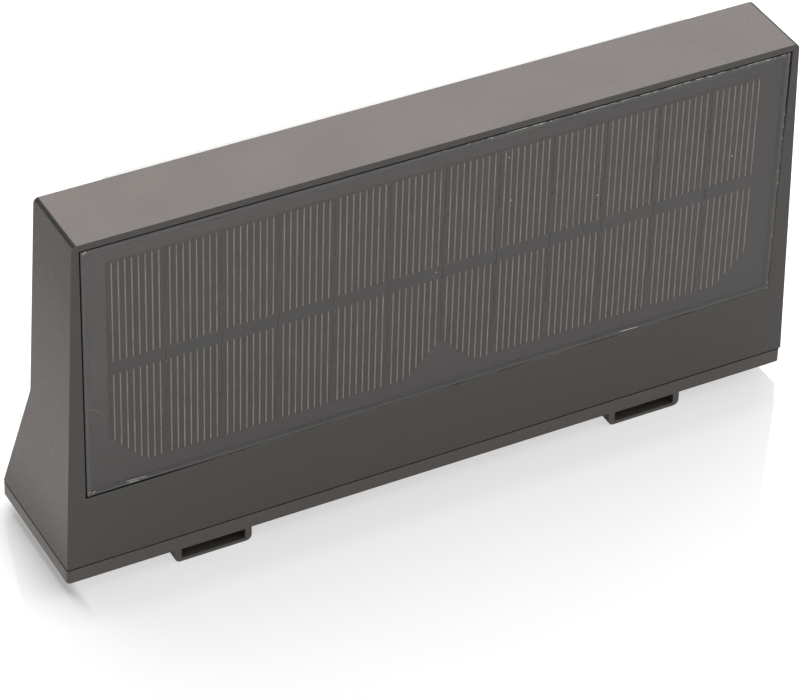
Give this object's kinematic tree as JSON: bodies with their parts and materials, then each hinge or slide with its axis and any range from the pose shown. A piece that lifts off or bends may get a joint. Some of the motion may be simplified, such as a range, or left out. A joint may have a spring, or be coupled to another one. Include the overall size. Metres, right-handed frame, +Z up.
{
  "type": "solar fence light",
  "caption": "Wedge-shaped solar light with a solar panel on its upright face, an opal light window behind and strap channels under its base plate.",
  "frame": {"origin": "under the middle of the light, level with the undersides of the two strap channels it stands on", "axes": "+X along the length, +Y from the solar panel side to the lit side, +Z up"},
  "size_m": [0.285, 0.055, 0.1458],
  "materials": {
    "housing_plastic": "fine-grained moulded plastic, dark warm grey",
    "base_plastic": "fine-grained moulded plastic, dark warm grey",
    "black_rubber": "soft black seal",
    "screw_steel": "zinc-plated steel",
    "foam_tape": "acrylic foam tape",
    "panel_board": "dark laminate",
    "silicon_cells": "dark silicon, even satin",
    "tinned_ribbon": "ribbon under a dark coating",
    "clear_cover": "clear satin cover",
    "opal_plastic": "opal white light window",
    "white_plastic": "white moulding",
    "white_board": "white circuit board",
    "led_package": "white package with yellow phosphor",
    "green_board": "green circuit board",
    "black_moulding": "black moulding",
    "bright_metal": "nickel-plated spring steel and aluminium",
    "cell_wrap": "plain blue shrink sleeve",
    "knob_plastic": "black moulded knob"
  },
  "bodies": {
    "lamp": {"housing": "housing_plastic", "base_plate": "base_plastic", "base_gasket": "black_rubber", "base_screws": "screw_steel", "panel_adhesive": "foam_tape", "panel_backing": "panel_board", "solar_cells": "silicon_cells", "cell_ribbons": "tinned_ribbon", "link_ribbons": "tinned_ribbon", "panel_cover": "clear_cover", "diffuser": "opal_plastic", "diffuser_gasket": "foam_tape", "reflector_tray": "white_plastic", "led_board": "white_board", "leds": "led_package", "led_board_screws": "screw_steel", "tray_screws": "screw_steel", "control_board": "green_board", "control_chips": "black_moulding", "board_inductor": "black_moulding", "board_capacitors": "bright_metal", "board_sockets": "white_plastic", "board_screws": "screw_steel", "battery_holder_left": "black_moulding", "battery_holder_right": "black_moulding", "battery_cell_left": "cell_wrap", "battery_cell_right": "cell_wrap", "battery_contacts": "bright_metal", "holder_screws": "screw_steel", "switch_seal": "black_rubber", "switch_bracket": "bright_metal", "switch_body": "black_moulding", "switch_terminals": "bright_metal", "switch_screws": "screw_steel"},
    "switch": {"switch_knob": "knob_plastic"}
  },
  "joints": [
    {"name": "switch_slide", "type": "slide", "parent": "lamp", "child": "switch", "axis": [1, 0, 0], "range_m": [0, 0.004]}
  ]
}
